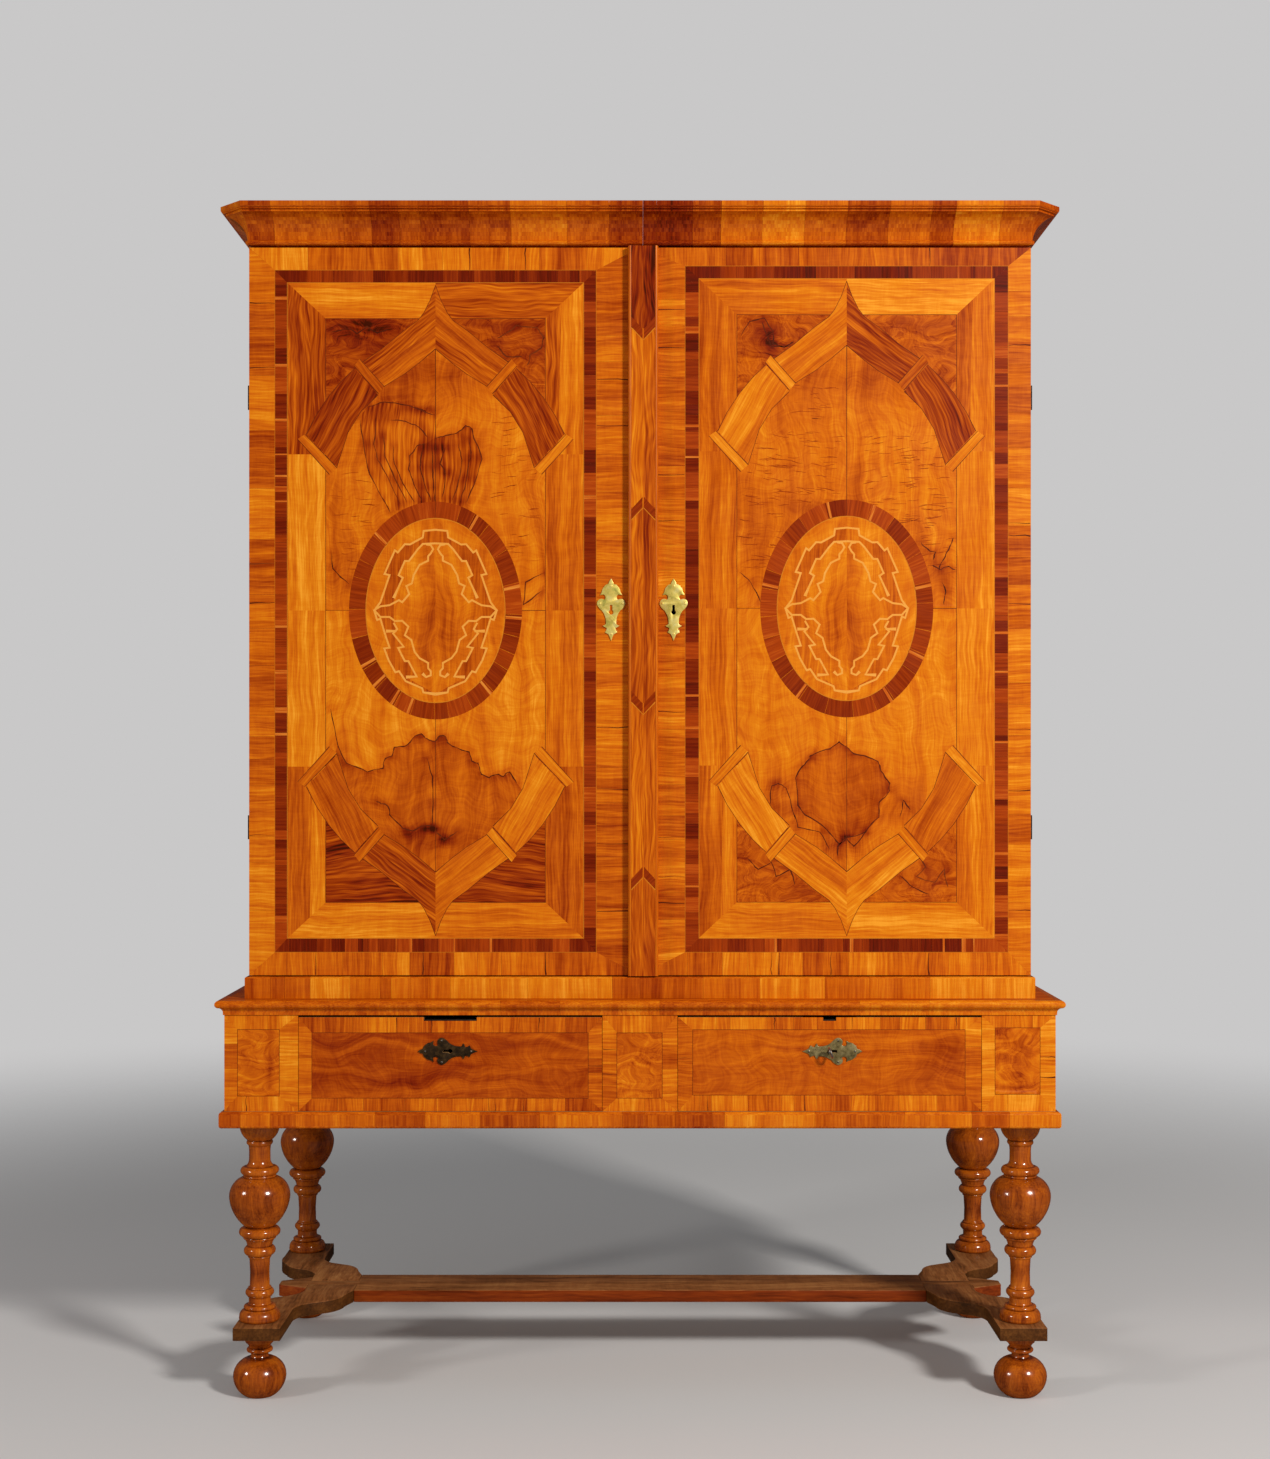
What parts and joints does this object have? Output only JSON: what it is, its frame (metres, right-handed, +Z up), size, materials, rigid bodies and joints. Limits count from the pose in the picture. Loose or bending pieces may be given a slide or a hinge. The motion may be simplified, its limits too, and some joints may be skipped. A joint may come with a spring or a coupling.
{
  "type": "cabinet on stand",
  "caption": "Two-door veneered cabinet with shelves and a coved cornice, on a stand with drawers, turned legs, ball feet and a flat scalloped stretcher",
  "frame": {"origin": "on the floor, under the middle of the cabinet's width and depth", "axes": "+X to the right as seen from the front, +Y to the back, +Z up"},
  "size_m": [1.425, 0.6352, 2.02],
  "materials": {
    "walnut_veneer": "figured walnut veneer, polished",
    "walnut_moulding": "cross-grain walnut moulding, polished",
    "turned_walnut": "turned red-brown walnut, polished",
    "stretcher_wood": "worn brown walnut, dull",
    "oak": "plain oak, unpolished",
    "brass_plate": "greenish tarnished brass",
    "bronze_plate": "dark tarnished bronze",
    "iron": "dark wrought iron",
    "key_steel": "worn steel"
  },
  "bodies": {
    "cabinet": {"foot_front_left": "turned_walnut", "leg_front_left": "turned_walnut", "foot_front_right": "turned_walnut", "leg_front_right": "turned_walnut", "foot_rear_left": "turned_walnut", "leg_rear_left": "turned_walnut", "foot_rear_right": "turned_walnut", "leg_rear_right": "turned_walnut", "stretcher_end_left": "stretcher_wood", "stretcher_end_right": "stretcher_wood", "stretcher_rail": "stretcher_wood", "stand_bottom": "oak", "base_moulding": "walnut_moulding", "stand_side_left": "walnut_veneer", "stand_side_right": "walnut_veneer", "stand_back": "oak", "post_left": "walnut_veneer", "post_centre": "walnut_veneer", "post_right": "walnut_veneer", "drawer_guides": "oak", "stand_top": "oak", "waist_moulding": "walnut_moulding", "plinth_moulding": "walnut_moulding", "case_side_left": "walnut_veneer", "case_side_right": "walnut_veneer", "case_bottom": "oak", "case_top": "oak", "case_back": "oak", "shelf_lower": "oak", "shelf_middle": "oak", "shelf_upper": "oak", "cornice": "walnut_moulding", "case_hinges": "iron"},
    "drawer_left": {"drawer_left_front": "walnut_veneer", "drawer_left_sides": "oak", "drawer_left_back": "oak", "drawer_left_bottom": "oak", "drawer_left_lock": "iron", "drawer_left_escutcheon": "bronze_plate"},
    "drawer_left_bolt": {"drawer_left_bolt": "iron"},
    "drawer_right": {"drawer_right_front": "walnut_veneer", "drawer_right_sides": "oak", "drawer_right_back": "oak", "drawer_right_bottom": "oak", "drawer_right_lock": "iron", "drawer_right_escutcheon": "bronze_plate"},
    "drawer_right_bolt": {"drawer_right_bolt": "iron"},
    "drawer_key": {"drawer_key": "key_steel"},
    "door_left": {"door_left_panel": "walnut_veneer", "door_left_escutcheon": "brass_plate", "door_left_hinges": "iron", "door_left_irons": "iron"},
    "door_top_bolt": {"door_top_bolt": "iron"},
    "door_bottom_bolt": {"door_bottom_bolt": "iron"},
    "door_right": {"door_right_panel": "walnut_veneer", "door_astragal": "walnut_veneer", "door_right_escutcheon": "brass_plate", "door_right_hinges": "iron", "door_right_lock": "iron"},
    "door_lock_bolt": {"door_lock_bolt": "iron"}
  },
  "joints": [
    {"name": "door_right_hinge", "type": "hinge", "parent": "cabinet", "child": "door_right", "pos_m": [0.667, -0.238, 1.3355], "axis": [0, 0, 1], "range_deg": [0, 170]},
    {"name": "door_left_hinge", "type": "hinge", "parent": "cabinet", "child": "door_left", "pos_m": [-0.667, -0.238, 1.3355], "axis": [0, 0, 1], "range_deg": [-170, 0]},
    {"name": "drawer_left_slide", "type": "slide", "parent": "cabinet", "child": "drawer_left", "axis": [0, -1, 0], "range_m": [0, 0.38]},
    {"name": "drawer_right_slide", "type": "slide", "parent": "cabinet", "child": "drawer_right", "axis": [0, -1, 0], "range_m": [0, 0.38]},
    {"name": "key_turn", "type": "hinge", "parent": "drawer_right", "child": "drawer_key", "pos_m": [0.31875, -0.285, 0.594], "axis": [0, 1, 0], "range_deg": [0, 180]},
    {"name": "drawer_right_bolt_slide", "type": "slide", "parent": "drawer_right", "child": "drawer_right_bolt", "axis": [0, 0, 1], "range_m": [0, 0.016]},
    {"name": "drawer_left_bolt_slide", "type": "slide", "parent": "drawer_left", "child": "drawer_left_bolt", "axis": [0, 0, 1], "range_m": [0, 0.016]},
    {"name": "door_lock_bolt_slide", "type": "slide", "parent": "door_right", "child": "door_lock_bolt", "axis": [-1, 0, 0], "range_m": [0, 0.02]},
    {"name": "door_top_bolt_slide", "type": "slide", "parent": "door_left", "child": "door_top_bolt", "axis": [0, 0, 1], "range_m": [0, 0.016]},
    {"name": "door_bottom_bolt_slide", "type": "slide", "parent": "door_left", "child": "door_bottom_bolt", "axis": [0, 0, -1], "range_m": [0, 0.016]}
  ],
  "couplings": [
    {"joint": "door_left_hinge", "follows": "door_right_hinge", "ratio": -1},
    {"joint": "key_turn", "follows": "drawer_right_bolt_slide", "rad_per_m": 196.34}
  ]
}
